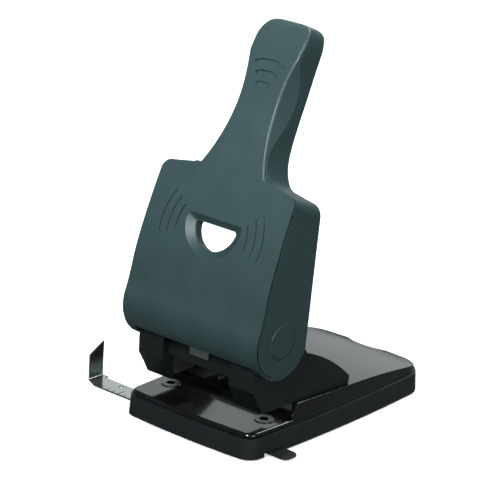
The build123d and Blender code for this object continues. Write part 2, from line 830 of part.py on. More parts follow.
def lever_front_outline(inset):
    """Outline of the lever seen square to its face, drawn in by inset."""
    top = lever_length - inset
    low = -disc_radius - 5
    shoulder_x = shoulder_half_width - inset
    corner_cut = shoulder_corner * (1 - cos(pi / 4))
    half = [
        Line((0, low), (cover_half_width - inset, low)),
        Line((cover_half_width - inset, low), (cover_half_width - inset, 0)),
        Line((cover_half_width - inset, 0), (shoulder_x, shoulder_height - shoulder_corner - inset)),
        ThreePointArc((shoulder_x, shoulder_height - shoulder_corner - inset),
                      (shoulder_x - corner_cut, shoulder_height - corner_cut - inset),
                      (shoulder_x - shoulder_corner, shoulder_height - inset)),
        Line((shoulder_x - shoulder_corner, shoulder_height - inset),
             (neck_half_width + 13 - inset, shoulder_height + shoulder_rise - inset)),
        Spline((neck_half_width + 13 - inset, shoulder_height + shoulder_rise - inset),
               (neck_half_width + 5.2 - inset, neck_start + 5.5),
               (neck_half_width - inset, neck_height),
               tangents=((-1, 0.15), (-0.02, 1))),
        Spline((neck_half_width - inset, neck_height), (neck_half_width + 0.2 - inset, neck_middle_height),
               (grip_half_width - inset, grip_height), tangents=((-0.02, 1), (0.04, 1))),
        Spline((grip_half_width - inset, grip_height),
               (grip_half_width - grip_corner * 0.4 - inset, top - grip_corner * 0.32),
               (0, top), tangents=((0.02, 1), (-1, 0))),
    ]
    left = [mirror(edge, about=Plane.YZ) for edge in half]
    return make_face(half + left)


def lever_side_edges(inset, open_back):
    """Side outline in (-depth, height); open_back carries it out behind the lever."""
    disc = disc_radius - inset
    tip = lever_length - inset
    front = [
        (-disc, 0),
        (-belly_low_depth + inset, belly_low_height),
        (-belly_depth + inset, belly_height),
        (-chest_depth + inset, chest_height),
        (-throat_depth + inset, throat_height),
        (-grip_low_depth + inset, grip_low_height),
        (-grip_front_depth + inset, grip_bend_height),
        (-grip_tip_depth + inset, tip),
    ]
    edges = [Spline(*front, tangents=((0.0, 1), (tip_slope, 1)))]
    if open_back:
        edges += [Line(front[-1], (reach, tip)), Line((reach, tip), (reach, 0)), Line((reach, 0), front[0])]
        return edges
    back = -grip_back_depth
    edges += [
        Line(front[-1], (back - 2.0, tip)),
        ThreePointArc((back - 2.0, tip), (back - 0.4, tip - 1.6), (back, tip - 6)),
        Line((back, tip - 6), (back, grip_back_height)),
        Line((back, grip_back_height), (-shoulder_back_depth, shoulder_height)),
        Line((-shoulder_back_depth, shoulder_height), (disc, 0)),
        ThreePointArc((disc, 0), (0, -disc), (-disc, 0)),
    ]
    return edges


def front_block(inset):
    """The lever's front outline, drawn in by inset, as a block along its depth."""
    block = extrude(Plane.XZ * lever_front_outline(inset), amount=reach, dir=(0, -1, 0))
    return Pos(0, reach / 2, 0) * block


def lever_form():
    """Outer form of the lever: its front outline crossed with its side outline."""
    form = front_block(0) & side_slab(lever_side_edges(0, False), -reach, reach)
    for side in (-1, 1):
        form -= side_scoop(side, 0)
    return fillet(grip_ridges(form), grip_edge_radius)


def parting_groove():
    """Shallow groove round the lever's sides, just behind the edge of its face."""
    rear = parting_set + parting_width
    band = side_slab(lever_side_edges(parting_set, True), -reach, reach)
    band -= side_slab(lever_side_edges(rear, True), -reach, reach)
    ring = rod_x(disc_radius - parting_set, -reach, reach, 0, 0)
    ring -= rod_x(disc_radius - rear, -reach, reach, 0, 0)
    band += ring & box((-reach, -reach, -reach), (reach, 0, 0))
    band &= box((-reach, -reach, -reach), (reach, reach, lever_length - 2 * grip_corner))
    return band & (front_block(-1.0) - front_block(parting_depth))


def grip_ridges(form):
    """The edges round the grip's front face."""
    ridges = []
    for edge in form.edges():
        middle = edge @ 0.5
        on_front = middle.Y < -(grip_tip_depth - 1.0)
        if on_front and middle.Z > shoulder_height + shoulder_rise + 3 and edge.length > 3.5:
            if edge.geom_type != GeomType.LINE or middle.Z > lever_length - 0.5:
                ridges.append(edge)
    return ridges


def side_scoop(side, grow):
    """Large tilted cylinder that waists the grip's front."""
    edge_x = neck_half_width + 0.4
    cylinder = Rot(90, 0, 0) * Cylinder(scoop_radius + grow, reach)
    cylinder = Pos(scoop_radius, 0, 0) * cylinder
    cylinder = Rot(0, 0, -scoop_slope) * cylinder
    cylinder = Pos(edge_x, -scoop_start_depth, scoop_height) * cylinder
    low = shoulder_height + scoop_lift
    cylinder &= box((0, -reach, low), (reach, reach, lever_length - 6))
    floor_edge = cylinder.faces().sort_by(Axis.Z)[0].edges().sort_by(Axis.X)[0]
    cylinder = fillet(floor_edge, scoop_corner_radius + grow)
    if side < 0:
        cylinder = mirror_x(cylinder)
    return cylinder


def window_face(radius, rise, grow=0.0):
    """D outline: a half disc with its flat side up, grown evenly by grow."""
    circle = Pos(0, window_height + rise) * Circle(radius)
    keep = Pos(0, window_height + rise - radius) * Rectangle(2 * radius + 2, 2 * radius)
    face = circle & keep
    face = fillet(face.vertices(), window_corner)
    if grow:
        face = offset(face, grow)
    return face


def window_block(grow, depth_low, depth_high):
    """The window's outline, grown, as a block along the lever's depth."""
    face = Plane.XZ * window_face(window_radius, window_rise, grow)
    return Pos(0, -depth_low, 0) * extrude(face, amount=depth_high - depth_low, dir=(0, -1, 0))


def window_dish():
    """The dished recess round the window: a shallow cone with a straight sloping top."""
    front, rear = belly_depth + 0.4, belly_depth - lip_depth
    middle_height = window_height + window_rise
    dish = Rot(90, 0, 0) * Cone(window_radius + lip_floor, window_radius + window_lip, front - rear)
    dish = Pos(0, -(front + rear) / 2, middle_height) * dish
    dish &= side_polygon([(-front, middle_height + lip_rise), (-rear, middle_height + lip_floor),
                          (-rear, 0), (-front, 0)], -reach, reach)
    corners = []
    for edge in dish.edges():
        middle = edge @ 0.5
        if -front + 0.2 < middle.Y < -rear - 0.2 and middle.Z > middle_height:
            corners.append(edge)
    return fillet(corners, lip_corner)


def arc_groove(centre_z, radius, low_angle, high_angle, width, depth_low, depth_high):
    """A groove along an arc in the lever's face."""
    arc = CenterArc((0, centre_z), radius, low_angle, high_angle - low_angle)
    groove = trace(arc, width)
    face = Plane.XZ * groove
    return Pos(0, -depth_low, 0) * extrude(face, amount=depth_high - depth_low, dir=(0, -1, 0))


def lever_cover():
    """Moulded lever shell: face, side cheeks with round ends, shoulders and grip."""
    inner = front_block(cover_wall) & side_slab(lever_side_edges(cover_wall, True), -reach, reach)
    inner_width = cover_half_width - cover_wall
    inner += rod_x(disc_radius - cover_wall, -inner_width, inner_width, 0, 0)
    for side in (-1, 1):
        inner -= side_scoop(side, cover_wall)
    cover = lever_form() - inner
    # The apron round the pivot ends above the legs; only the side rims go all the way round.
    angle = radians(apron_angle)
    rim_x = cover_half_width - cover_wall - rim_width
    cover -= side_polygon([(0, 0), (-reach * cos(angle), -reach * sin(angle)),
                           (-reach * cos(angle), -reach), (reach, -reach),
                           (reach, 4), (0, 4)], -rim_x, rim_x)
    collar = window_block(collar_wall, window_back_depth, belly_depth - 1.2)
    cover += collar & lever_form()
    cover -= window_block(0.0, 0, 60)
    cover -= window_dish()
    cover -= parting_groove()
    bottom = belly_depth - face_groove_depth - 0.3
    for i in range(len(face_groove_radii)):
        low, high = face_groove_low_angles[i], face_groove_high_angles[i]
        for start, end in ((low, high), (180 - high, 180 - low)):
            cover -= arc_groove(window_height, face_groove_radii[i], start, end, face_groove_width,
                                bottom, belly_depth + 5)
    fall = (grip_low_depth - grip_front_depth) / (grip_bend_height - grip_low_height)
    for i in range(len(grip_groove_radii)):
        crown = lever_length - grip_groove_drops[i]
        bottom = grip_low_depth - fall * (crown - grip_low_height) - face_groove_depth
        spread = degrees(asin(grip_groove_half_spans[i] / grip_groove_radii[i]))
        cover -= arc_groove(crown - grip_groove_radii[i], grip_groove_radii[i],
                            90 - spread, 90 + spread, grip_groove_width,
                            bottom, belly_depth + 5)
    boss_rear = grip_back_depth + cover_wall + part_gap
    boss_front = throat_depth - cover_wall / 2
    for height in grip_screw_heights:
        boss = Rot(90, 0, 0) * Cylinder(grip_boss_radius, boss_front - boss_rear)
        boss = Pos(0, -(boss_rear + boss_front) / 2, height) * boss
        cover += boss & lever_form()
        cover -= Pos(0, -10, height) * Rot(90, 0, 0) * Cylinder(grip_screw_radius, 16)
    for side in (-1, 1):
        wall_x = side * cover_half_width
        cover -= rod_x(cap_radius + part_gap, wall_x - 5, wall_x + 5, 0, 0)
    return lean(cover)


def grip_back_cover():
    """Moulded panel that closes the grip from behind."""
    face = Plane.XZ * lever_front_outline(cover_wall + part_gap / 2)
    panel = Pos(0, -grip_back_depth, 0) * extrude(face, amount=cover_wall, dir=(0, -1, 0))
    panel &= box((-reach, -reach, shoulder_height + shoulder_rise + 5), (reach, reach, lever_length - 5))
    for height in grip_screw_heights:
        panel -= Pos(0, -grip_back_depth, height) * Rot(90, 0, 0) * Cylinder(grip_screw_radius, 20)
    return lean(panel)


def grip_screws():
    screws = []
    for height in grip_screw_heights:
        head = Rot(90, 0, 0) * Cylinder(grip_screw_head_radius, 1.2)
        head = Pos(0, -grip_back_depth + 0.6, height) * head
        shank = Pos(0, -grip_back_depth - 5, height) * Rot(90, 0, 0) * Cylinder(grip_screw_radius, 10)
        screws.append(lean(head + shank))
    return Compound(screws)


def lever_yoke():
    """Pressed steel yoke inside the lever: face web, side plates, grip spine and stop tongue."""
    inner_x, outer_x = yoke_inner_x(), yoke_inner_x() + yoke_sheet
    web = box((-outer_x, -yoke_depth, yoke_foot), (outer_x, -yoke_depth + yoke_sheet, yoke_top))
    web -= window_block(yoke_window_margin, 0, 2 * yoke_depth)
    rod_local_t = -drive_arm * cos(swing_half + radians(lever_lean))
    plate = side_polygon([(-yoke_depth, yoke_foot), (-yoke_depth, yoke_top),
                          (-yoke_depth + yoke_side_return, yoke_top),
                          (-rod_local_t + 5, drive_arm), (0, 0)], inner_x, outer_x)
    plate += rod_x(ear_radius, inner_x, outer_x, 0, 0)
    plates = plate + mirror_x(plate)
    spine = side_polygon([(-yoke_depth, yoke_top - spine_root), (-yoke_depth, yoke_top),
                          (-spine_depth, spine_start), (-spine_depth, spine_end),
                          (-spine_depth + yoke_sheet, spine_end),
                          (-spine_depth + yoke_sheet, spine_start - 0.5),
                          (-yoke_depth + yoke_sheet, yoke_top - 0.5),
                          (-yoke_depth + yoke_sheet, yoke_top - spine_root)],
                         -spine_half_width, spine_half_width)
    tongue = rod_x(tongue_outer_radius, -tongue_half_width, tongue_half_width, 0, 0)
    tongue -= rod_x(tongue_outer_radius - yoke_sheet, -tongue_half_width, tongue_half_width, 0, 0)
    angle = radians(tongue_angle)
    tongue &= side_polygon([(0, 0), (-reach, 0), (-reach, -reach * sin(angle)),
                            (-reach * cos(angle), -reach * sin(angle))], -reach, reach)
    yoke = web + plates + spine + tongue
    yoke -= rod_x(shaft_radius + fit_clearance, -reach, reach, 0, 0)
    for height in grip_screw_heights:
        yoke -= Pos(0, -spine_depth, height) * Rot(90, 0, 0) * Cylinder(grip_boss_radius + part_gap, 12)
    # The tongue's end is bent down in front of the bridge.
    tab_rear = bridge_front_top()[0] - stop_gap
    yoke = lean(yoke) + box((-tongue_half_width, tab_rear - yoke_sheet, tub_bottom + tongue_low),
                            (tongue_half_width, tab_rear, tub_bottom + tongue_root))
    return yoke - rod_x(drive_rod_radius, -reach, reach, rod_y, rod_z)


def drive_rod():
    end = yoke_inner_x() + yoke_sheet
    return rod_x(drive_rod_radius, -end, end, rod_y, rod_z)


def pivot_cap(side):
    """Snap-in disc over the shaft's end, flush with the lever's side."""
    low, high = sorted((side * (cover_half_width - cap_thickness + 0.3), side * (cover_half_width + 0.3)))
    cap = rod_x(cap_radius, low, high, 0, 0)
    outer_edge = cap.edges().filter_by(GeomType.CIRCLE).sort_by(Axis.X)[-1 if side > 0 else 0]
    cap = fillet(outer_edge, 0.6)
    return lean(cap)


# ---------------------------------------------------------------- write every node
right_leg = frame_right()
nodes = {
    "base_tub": base_tub(),
    "rubber_feet": rubber_feet(),
    "base_plate": base_plate(),
    "die_bush_left": die_bush(-punch_x),
    "die_bush_right": die_bush(punch_x),
    "tub_screws": tub_screws(),
    "guide_channel": guide_channel(),
    "lock_rivet": lock_rivet(),
    "frame_right": right_leg,
    "frame_left": mirror_x(right_leg),
    "frame_bridge": frame_bridge(),
    "frame_screws": frame_screws(),
    "punch_guide_left": punch_guide(-1),
    "punch_guide_right": punch_guide(1),
    "pivot_shaft": pivot_shaft(),
    "shaft_clips": shaft_clips(),
    "pivot_washers": pivot_washers(),
    "punch_left": punch(-1),
    "punch_right": punch(1),
    "punch_head_left": punch_head(-1),
    "punch_head_right": punch_head(1),
    "return_spring_left": return_spring(-1),
    "return_spring_right": return_spring(1),
    "lever_cover": lever_cover(),
    "grip_back_cover": grip_back_cover(),
    "grip_screws": grip_screws(),
    "lever_yoke": lever_yoke(),
    "drive_rod": drive_rod(),
    "pivot_cap_left": pivot_cap(-1),
    "pivot_cap_right": pivot_cap(1),
    "paper_guide": paper_guide(),
    "guide_lock_lever": guide_lock_lever(),
    "chip_drawer": chip_drawer(),
    "drawer_feet": drawer_feet(),
}
for name, shape in nodes.items():
    save(shape, name)
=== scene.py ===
"""Looks of a heavy duty two-hole paper punch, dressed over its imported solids."""

import json
import math

import bmesh
import bpy
from mathutils import Matrix, Vector


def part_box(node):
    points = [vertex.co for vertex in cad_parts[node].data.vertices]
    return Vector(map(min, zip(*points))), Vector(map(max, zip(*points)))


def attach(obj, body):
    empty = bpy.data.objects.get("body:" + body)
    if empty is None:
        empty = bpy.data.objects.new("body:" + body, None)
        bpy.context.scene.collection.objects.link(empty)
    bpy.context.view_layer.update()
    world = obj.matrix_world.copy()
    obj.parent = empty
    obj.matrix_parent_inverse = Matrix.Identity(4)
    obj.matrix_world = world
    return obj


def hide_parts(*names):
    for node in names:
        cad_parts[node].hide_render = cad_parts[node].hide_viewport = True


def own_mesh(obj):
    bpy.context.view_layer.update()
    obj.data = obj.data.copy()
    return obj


bl_info = {
    "name": "Two-hole punch dresser",
    "version": (1, 0, 0),
    "blender": (4, 5, 0),
    "location": "View3D > Sidebar > Punch",
    "description": "Finishes, edges and studio for a heavy duty paper punch",
    "category": "Object",
}

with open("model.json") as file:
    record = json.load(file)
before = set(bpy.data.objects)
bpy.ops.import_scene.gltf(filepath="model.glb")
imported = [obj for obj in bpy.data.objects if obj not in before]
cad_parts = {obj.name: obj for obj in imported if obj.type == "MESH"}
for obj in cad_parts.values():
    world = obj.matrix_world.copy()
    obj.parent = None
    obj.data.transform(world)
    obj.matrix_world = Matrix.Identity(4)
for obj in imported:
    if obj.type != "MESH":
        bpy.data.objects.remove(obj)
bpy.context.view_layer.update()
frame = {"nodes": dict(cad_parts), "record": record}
MM = 0.001
SHARP_ANGLE = math.radians(14.0)
LIGHT_TINT = (0.93, 1.0, 1.0)
# The ticks start and end this far along the strip from its outer end.
TICKS_START, TICKS_END = 16 * MM, 76 * MM
# The camera stands this far to the right of the punches' midpoint and above it, in its own frame.
CAMERA_RIGHT, CAMERA_UP = 15.2965 * MM, 114.4009 * MM
DATUM_HEIGHT = 0.8 * MM
NODE_BODY = {
    node: body
    for body, members in frame["record"]["behaviour"]["bodies"].items()
    for node in members
}
NODE_SLOT = {row["node"]: row["material_slot"] for row in frame["record"]["subparts"]}


# ---------------------------------------------------------------- colours and small helpers
def linear(hex_colour):
    """An sRGB hex colour as linear red, green, blue and alpha."""
    parts = [int(hex_colour[i : i + 2], 16) / 255 for i in (1, 3, 5)]
    lin = [c / 12.92 if c <= 0.04045 else ((c + 0.055) / 1.055) ** 2.4 for c in parts]
    return (*lin, 1.0)


class PunchFinish(bpy.types.PropertyGroup):
    """Colours and grain of the punch's finishes."""

    lever_colour: bpy.props.StringProperty(
        name="Lever colour", description="Moulded lever shell, sRGB hex", default="#304446"
    )
    tub_colour: bpy.props.StringProperty(
        name="Tub colour", description="Moulded base tub and drawer, sRGB hex", default="#1a1e20"
    )
    plate_colour: bpy.props.StringProperty(
        name="Plate colour", description="Enamel on the pressed base plate, sRGB hex", default="#08090a"
    )
    frame_colour: bpy.props.StringProperty(
        name="Frame colour", description="Paint on the steel legs, sRGB hex", default="#161b1c"
    )
    grain: bpy.props.FloatProperty(
        name="Moulded grain", description="Size of the spark-eroded grain on the mouldings",
        default=0.9 * MM, min=0.1 * MM, max=5 * MM, subtype="DISTANCE", unit="LENGTH",
    )
    tick_spacing: bpy.props.FloatProperty(
        name="Tick spacing", description="Distance between the guide strip's ticks",
        default=5 * MM, min=1 * MM, max=20 * MM, subtype="DISTANCE", unit="LENGTH",
    )


class PunchEdges(bpy.types.PropertyGroup):
    """How far the moulded and pressed edges are broken."""

    moulded: bpy.props.FloatProperty(
        name="Moulded edge", description="Edge radius of the plastic mouldings",
        default=0.7 * MM, min=0.0, max=3 * MM, subtype="DISTANCE", unit="LENGTH",
    )
    pressed: bpy.props.FloatProperty(
        name="Pressed edge", description="Edge radius of the sheet steel",
        default=0.35 * MM, min=0.0, max=2 * MM, subtype="DISTANCE", unit="LENGTH",
    )
    plate: bpy.props.FloatProperty(
        name="Plate edge", description="Rolled edge of the base plate",
        default=2.2 * MM, min=0.0, max=5 * MM, subtype="DISTANCE", unit="LENGTH",
    )


class PunchStage(bpy.types.PropertyGroup):
    """Camera and light of the studio."""

    azimuth: bpy.props.FloatProperty(
        name="Azimuth", description="Camera bearing from the front",
        default=math.radians(39.524), subtype="ANGLE",
    )
    elevation: bpy.props.FloatProperty(
        name="Elevation", description="Camera height angle", default=math.radians(19.056), subtype="ANGLE"
    )
    roll: bpy.props.FloatProperty(
        name="Roll", description="Camera turn about its own axis",
        default=math.radians(3.569), subtype="ANGLE",
    )
    distance: bpy.props.FloatProperty(
        name="Distance", description="Camera distance", default=1.66809, subtype="DISTANCE", unit="LENGTH"
    )
    lens: bpy.props.FloatProperty(
        name="Lens", description="Focal length on a 36 mm sensor, in millimetres", default=185.656
    )
    key_power: bpy.props.FloatProperty(
        name="Key light", description="Watts of the front soft box", default=1.3
    )
    top_power: bpy.props.FloatProperty(
        name="Top light", description="Watts of the panel above", default=24.0
    )
    side_power: bpy.props.FloatProperty(
        name="Side card", description="Watts of the card at the right", default=6.5
    )
    back_power: bpy.props.FloatProperty(
        name="Back card", description="Watts of the card that the chrome mirrors", default=2.6
    )
    world_level: bpy.props.FloatProperty(
        name="World", description="Level of the room's light", default=0.12
    )
    bounce: bpy.props.StringProperty(
        name="Bounce", description="Floor colour the punch sees", default="#5a5d5e"
    )
    lift: bpy.props.FloatProperty(
        name="Lift", description="Light added to the floor for the eye", default=0.45
    )


# ---------------------------------------------------------------- materials
def add(tree, kind, links=None, **settings):
    """One node with its settings; links gives each input its socket or value."""
    node = tree.nodes.new(kind)
    for key, value in settings.items():
        setattr(node, key, value)
    for key, value in (links or {}).items():
        socket = node.inputs[key]
        if isinstance(value, bpy.types.NodeSocket):
            tree.links.new(value, socket)
        else:
            socket.default_value = value
    return node


def new_material(name, colour, **shader):
    """A material with its shader's plain values set; returns it, its tree and its shader."""
    material = bpy.data.materials.new(name)
    material.use_nodes = True
    tree = material.node_tree
    tree.nodes.clear()
    surface = add(tree, "ShaderNodeBsdfPrincipled", {"Base Color": linear(colour), **shader})
    add(tree, "ShaderNodeOutputMaterial", {"Surface": surface.outputs[0]})
    material.diffuse_color = linear(colour)
    return material, tree, surface


def spread_to(tree, noise, low, high):
    """The middle range of a noise, spread over low to high."""
    return add(tree, "ShaderNodeMapRange", {"Value": noise.outputs["Fac"], "From Min": 0.3, "From Max": 0.7,
                                            "To Min": low, "To Max": high})


def mottle(tree, surface, colour, size, depth, roughness, spread):
    """Faint shade and roughness changes over the surface, from noise of the given size."""
    where = add(tree, "ShaderNodeTexCoord")
    noise = add(tree, "ShaderNodeTexNoise",
                {"Vector": where.outputs["Object"], "Scale": 1 / size, "Detail": 4.0})
    shade = spread_to(tree, noise, 1 - depth, 1 + depth)
    tone = add(tree, "ShaderNodeMix", {0: 1.0, "A": linear(colour), "B": shade.outputs[0]},
               data_type="RGBA", blend_type="MULTIPLY")
    rough = spread_to(tree, noise, roughness - spread, roughness + spread)
    tree.links.new(tone.outputs[2], surface.inputs["Base Color"])
    tree.links.new(rough.outputs[0], surface.inputs["Roughness"])
    return where


def grain_bump(tree, surface, where, size, strength, height):
    """Fine raised grain as a bump."""
    noise = add(tree, "ShaderNodeTexNoise",
                {"Vector": where.outputs["Object"], "Scale": 1 / size, "Detail": 2.0})
    bump = add(tree, "ShaderNodeBump",
               {"Strength": strength, "Distance": height, "Height": noise.outputs["Fac"]})
    tree.links.new(bump.outputs[0], surface.inputs["Normal"])


def moulded_abs(name, colour, roughness, grain, strength=0.35):
    """ABS moulded in a spark-eroded mould: an even matt grain with a soft broad sheen."""
    # The real grain is about 0.1 mm, too fine for the render, so it is drawn coarser.
    material, tree, surface = new_material(name, colour, Roughness=roughness, IOR=1.53)
    where = mottle(tree, surface, colour, 18 * MM, 0.05, roughness, 0.03)
    grain_bump(tree, surface, where, grain, strength, 0.04 * MM)
    return material


def enamel_steel(name, colour, roughness, coat):
    """Stoved enamel on pressed steel: near black with a wet gloss and a faint orange peel."""
    material, tree, surface = new_material(name, colour, Roughness=roughness, IOR=1.5)
    surface.inputs["Coat Weight"].default_value = coat
    surface.inputs["Coat Roughness"].default_value = 0.06
    where = mottle(tree, surface, colour, 30 * MM, 0.06, roughness, 0.04)
    grain_bump(tree, surface, where, 2.2 * MM, 0.06, 0.02 * MM)
    return material


def painted_steel(name, colour, roughness):
    """Satin paint on sheet steel: dark and even, a little broader in its shine than enamel."""
    material, tree, surface = new_material(name, colour, Roughness=roughness, IOR=1.5)
    where = mottle(tree, surface, colour, 12 * MM, 0.06, roughness, 0.05)
    grain_bump(tree, surface, where, 0.8 * MM, 0.12, 0.02 * MM)
    return material


def drawn_steel(name, colour, roughness, along):
    """Ground or drawn steel: bright, with fine marks along the way it was worked."""
    material, tree, surface = new_material(name, colour, Metallic=1.0, Roughness=roughness)
    where = add(tree, "ShaderNodeTexCoord")
    stretch = add(tree, "ShaderNodeMapping", {"Vector": where.outputs["Object"], "Scale": along})
    marks = add(tree, "ShaderNodeTexNoise",
                {"Vector": stretch.outputs[0], "Scale": 1 / (1.2 * MM), "Detail": 3.0})
    rough = spread_to(tree, marks, roughness * 0.75, roughness * 1.35)
    tree.links.new(rough.outputs[0], surface.inputs["Roughness"])
    bump = add(tree, "ShaderNodeBump",
               {"Strength": 0.1, "Distance": 0.02 * MM, "Height": marks.outputs["Fac"]})
    tree.links.new(bump.outputs[0], surface.inputs["Normal"])
    return material


def plain_rubber(name, colour):
    """Moulded rubber: dull and black with a faint bloom."""
    material, tree, surface = new_material(name, colour, Roughness=0.8, IOR=1.52)
    where = mottle(tree, surface, colour, 3 * MM, 0.15, 0.8, 0.08)
    grain_bump(tree, surface, where, 0.6 * MM, 0.3, 0.05 * MM)
    return material


def ruled_chrome(name, spacing, strip):
    """Chromed strip with plain dark ticks printed along its front edge, every fifth one longer."""
    material, tree, surface = new_material(name, "#c9cccc", Metallic=1.0, Roughness=0.16)
    where = add(tree, "ShaderNodeTexCoord")
    axes = add(tree, "ShaderNodeSeparateXYZ", {"Vector": where.outputs["Object"]})

    def math_node(kind, a, b=0.0):
        return add(tree, "ShaderNodeMath", {0: a, 1: b}, operation=kind).outputs[0]

    def ticks(step, width, reach):
        """Dark where X is within width of a step and Y within reach of the front edge."""
        along = math_node("PINGPONG", axes.outputs["X"], step / 2)
        near = math_node("LESS_THAN", along, width / 2)
        deep = math_node("LESS_THAN", math_node("SUBTRACT", axes.outputs["Y"], strip[0].y), reach)
        return math_node("MULTIPLY", near, deep)

    both = math_node("MAXIMUM", ticks(spacing, 0.7 * MM, 3.2 * MM), ticks(spacing * 5, 0.9 * MM, 6.0 * MM))
    outside = math_node("LESS_THAN", axes.outputs["X"], strip[0].x + TICKS_END)
    inside = math_node("GREATER_THAN", axes.outputs["X"], strip[0].x + TICKS_START)
    mask = math_node("MULTIPLY", both, math_node("MULTIPLY", outside, inside))
    tone = add(tree, "ShaderNodeMix", {0: mask, "A": linear("#c9cccc"), "B": linear("#1c1e1f")},
               data_type="RGBA")
    tree.links.new(tone.outputs[2], surface.inputs["Base Color"])
    metal = math_node("SUBTRACT", 1.0, mask)
    tree.links.new(metal, surface.inputs["Metallic"])
    noise = add(tree, "ShaderNodeTexNoise",
                {"Vector": where.outputs["Object"], "Scale": 1 / (9 * MM), "Detail": 4.0})
    rough = spread_to(tree, noise, 0.12, 0.24)
    tree.links.new(rough.outputs[0], surface.inputs["Roughness"])
    return material


def make_finishes(finish):
    """Every finish of the punch, by the record's slot name."""
    return {
        "lever_plastic": moulded_abs("grained_abs_lever", finish.lever_colour, 0.48, finish.grain),
        "tub_plastic": moulded_abs("matt_abs_tub", finish.tub_colour, 0.55, finish.grain),
        "cap_plastic": moulded_abs("satin_abs_cap", finish.lever_colour, 0.46, finish.grain, 0.3),
        "lock_plastic": moulded_abs("satin_abs_lock", "#121516", 0.42, finish.grain, 0.2),
        "plate_paint": enamel_steel("black_enamel_plate", finish.plate_colour, 0.12, 0.7),
        "frame_paint": painted_steel("satin_paint_legs", finish.frame_colour, 0.38),
        "bright_steel": drawn_steel("ground_steel", "#6d7072", 0.25, (1, 1, 12)),
        "zinc_steel": drawn_steel("bright_zinc_plate", "#b4b8b6", 0.3, (1, 6, 6)),
        "chromed_steel": ruled_chrome("ruled_chrome_strip", finish.tick_spacing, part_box("paper_guide")),
        "cast_zinc": drawn_steel("die_cast_zinc", "#8b8e8f", 0.45, (1, 1, 1)),
        "spring_steel": drawn_steel("drawn_spring_wire", "#8e9193", 0.3, (1, 1, 1)),
        "screw_steel": drawn_steel("zinc_plated_screw", "#9a9c9b", 0.35, (1, 1, 1)),
        "foot_rubber": plain_rubber("black_rubber_foot", "#141414"),
    }


# ---------------------------------------------------------------- pieces
def merged_copy(node, name):
    """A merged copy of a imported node's mesh, with its flat faces joined."""
    mesh = bpy.data.meshes.new(name)
    form = bmesh.new()
    form.from_mesh(frame["nodes"][node].data)
    bmesh.ops.remove_doubles(form, verts=form.verts, dist=2e-6)
    bmesh.ops.dissolve_limit(form, angle_limit=math.radians(0.2), verts=form.verts, edges=form.edges)
    for face in form.faces:
        face.smooth = True
    for edge in form.edges:
        edge.smooth = edge.is_manifold and edge.calc_face_angle() < SHARP_ANGLE
    form.to_mesh(mesh)
    form.free()
    piece = bpy.data.objects.new(name, mesh)
    bpy.context.scene.collection.objects.link(piece)
    return piece


def weighted(piece):
    """Keeps the flats flat and the sharp edges crisp in the shading."""
    normals = piece.modifiers.new("face_weights", "WEIGHTED_NORMAL")
    normals.keep_sharp = True
    normals.weight = 100


def edged(node, name, width, segments=2, angle=32.0):
    """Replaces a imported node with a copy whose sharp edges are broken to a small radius."""
    piece = merged_copy(node, name)
    bevel = piece.modifiers.new("broken_edges", "BEVEL")
    bevel.width = width
    bevel.segments = segments
    bevel.limit_method = "ANGLE"
    bevel.angle_limit = math.radians(angle)
    bevel.use_clamp_overlap = True
    bevel.miter_outer = "MITER_ARC"
    weighted(piece)
    piece.data.materials.append(finishes()[NODE_SLOT[node]])
    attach(piece, NODE_BODY[node])
    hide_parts(node)


def finish_node(node):
    """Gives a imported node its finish."""
    obj = frame["nodes"][node]
    obj.data.materials.clear()
    obj.data.materials.append(finishes()[NODE_SLOT[node]])


MADE = {}


def finishes():
    """The finishes, made once."""
    if not MADE:
        MADE.update(make_finishes(bpy.context.scene.punch_finish))
    return MADE


class PUNCH_OT_base(bpy.types.Operator):
    """Tub, feet, pressed plate, dies and their screws"""

    bl_idname = "punch.base"
    bl_label = "Base"

    def execute(self, context):
        edges = context.scene.punch_edges
        edged("base_tub", "tub_moulding", edges.moulded)
        edged("base_plate", "plate_pressing", edges.plate, segments=4, angle=40.0)
        for node in ("rubber_feet", "die_bush_left", "die_bush_right", "tub_screws", "guide_channel",
                     "lock_rivet"):
            finish_node(node)
        return {"FINISHED"}


class PUNCH_OT_frame(bpy.types.Operator):
    """Steel legs with their bridge, guides, shaft and fasteners"""

    bl_idname = "punch.frame"
    bl_label = "Frame"

    def execute(self, context):
        edges = context.scene.punch_edges
        for side in ("left", "right"):
            edged("frame_" + side, "leg_" + side, edges.pressed)
            edged("punch_guide_" + side, "guide_block_" + side, edges.pressed)
        edged("frame_bridge", "bridge_plate", edges.pressed)
        for node in ("frame_screws", "pivot_shaft", "shaft_clips", "pivot_washers"):
            finish_node(node)
        return {"FINISHED"}


class PUNCH_OT_lever(bpy.types.Operator):
    """Lever shell, grip panel, yoke, rod and caps"""

    bl_idname = "punch.lever"
    bl_label = "Lever"

    def execute(self, context):
        edges = context.scene.punch_edges
        edged("lever_cover", "lever_shell", edges.moulded)
        edged("grip_back_cover", "grip_panel", edges.pressed)
        edged("lever_yoke", "lever_inner_yoke", edges.pressed)
        for node in ("grip_screws", "drive_rod", "pivot_cap_left", "pivot_cap_right"):
            finish_node(node)
        return {"FINISHED"}


class PUNCH_OT_punches(bpy.types.Operator):
    """The two punches, their heads and return springs"""

    bl_idname = "punch.punches"
    bl_label = "Punches"

    def execute(self, context):
        for side in ("left", "right"):
            finish_node("punch_" + side)
            edged("punch_head_" + side, "head_block_" + side, context.scene.punch_edges.pressed)
            spring = "return_spring_" + side
            coil = merged_copy(spring, "coil_" + side)
            coil.data.materials.append(finishes()["spring_steel"])
            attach(coil, "root")
            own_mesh(coil)
            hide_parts(spring)
        return {"FINISHED"}


